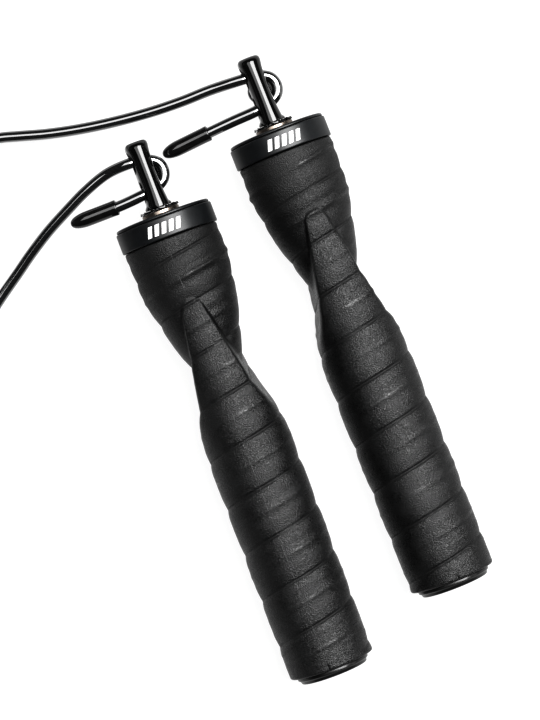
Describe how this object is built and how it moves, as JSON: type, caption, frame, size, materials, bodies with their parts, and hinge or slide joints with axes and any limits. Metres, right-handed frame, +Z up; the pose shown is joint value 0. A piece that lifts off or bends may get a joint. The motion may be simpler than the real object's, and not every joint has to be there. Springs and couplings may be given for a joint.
{
  "type": "jump rope",
  "caption": "Speed jump rope: two soft contoured handles with ball bearings at the head and one thin coated steel cable threaded through their eyelets, its spare length in a tied coil.",
  "frame": {"origin": "on the floor, under the centre of the box round both handles and their eyelets, without the cable", "axes": "+Z up, +Y towards the handles heads and along the longest side, +X to the right across the two handles"},
  "size_m": [0.2337, 0.2102, 0.0335],
  "materials": {
    "grip_rubber": "satin black moulded soft grip with a fine leather grain",
    "collar_plastic": "satin dark blue-grey moulded plastic",
    "core_plastic": "unpainted natural grey tube",
    "black_gloss": "glossy black vinyl",
    "black_metal": "glossy black plated metal",
    "bearing_steel": "polished bearing steel",
    "zinc_steel": "bright zinc-plated steel",
    "nylon": "natural nylon",
    "cable_sheath": "dark smoke-grey vinyl sheath over steel rope",
    "tie_strap": "black woven hook-and-loop strap"
  },
  "bodies": {
    "rope": {"eyelet_left": "black_metal", "tooth_washer_left": "black_metal", "bearing_inner_ring_left": "bearing_steel", "thrust_washer_left": "zinc_steel", "lock_nut_left": "zinc_steel", "cable_loop_left": "cable_sheath", "end_cap_left": "black_gloss", "cable_left": "cable_sheath", "eyelet_right": "black_metal", "tooth_washer_right": "black_metal", "bearing_inner_ring_right": "bearing_steel", "thrust_washer_right": "zinc_steel", "lock_nut_right": "zinc_steel", "cable_loop_right": "cable_sheath", "end_cap_right": "black_gloss", "cable_right": "cable_sheath", "cable_coil": "cable_sheath", "coil_tie_1": "tie_strap", "coil_tie_2": "tie_strap"},
    "handle_left": {"grip_left": "grip_rubber", "core_tube_left": "core_plastic", "collar_left": "collar_plastic", "head_cover_left": "collar_plastic", "bearing_outer_ring_left": "bearing_steel", "bearing_shield_left": "zinc_steel", "butt_plug_left": "black_gloss"},
    "cage_left": {"bearing_cage_left": "nylon", "bearing_ball_left_1": "bearing_steel", "bearing_ball_left_2": "bearing_steel", "bearing_ball_left_3": "bearing_steel", "bearing_ball_left_4": "bearing_steel", "bearing_ball_left_5": "bearing_steel", "bearing_ball_left_6": "bearing_steel", "bearing_ball_left_7": "bearing_steel"},
    "handle_right": {"grip_right": "grip_rubber", "core_tube_right": "core_plastic", "collar_right": "collar_plastic", "head_cover_right": "collar_plastic", "bearing_outer_ring_right": "bearing_steel", "bearing_shield_right": "zinc_steel", "butt_plug_right": "black_gloss"},
    "cage_right": {"bearing_cage_right": "nylon", "bearing_ball_right_1": "bearing_steel", "bearing_ball_right_2": "bearing_steel", "bearing_ball_right_3": "bearing_steel", "bearing_ball_right_4": "bearing_steel", "bearing_ball_right_5": "bearing_steel", "bearing_ball_right_6": "bearing_steel", "bearing_ball_right_7": "bearing_steel"}
  },
  "joints": [
    {"name": "handle_left_spin", "type": "hinge", "parent": "rope", "child": "handle_left", "pos_m": [-0.0475, 0.0514, 0.01679], "axis": [-0.3534, 0.9354, 0.0127], "continuous": true},
    {"name": "handle_right_spin", "type": "hinge", "parent": "rope", "child": "handle_right", "pos_m": [-0.0096, 0.0796, 0.01679], "axis": [-0.3681, 0.9297, 0.0127], "continuous": true},
    {"name": "cage_left_spin", "type": "hinge", "parent": "rope", "child": "cage_left", "pos_m": [-0.0475, 0.0514, 0.01679], "axis": [-0.3534, 0.9354, 0.0127], "continuous": true},
    {"name": "cage_right_spin", "type": "hinge", "parent": "rope", "child": "cage_right", "pos_m": [-0.0096, 0.0796, 0.01679], "axis": [-0.3681, 0.9297, 0.0127], "continuous": true}
  ],
  "couplings": [
    {"joint": "cage_left_spin", "follows": "handle_left_spin", "ratio": 0.6118},
    {"joint": "cage_right_spin", "follows": "handle_right_spin", "ratio": 0.6118}
  ]
}
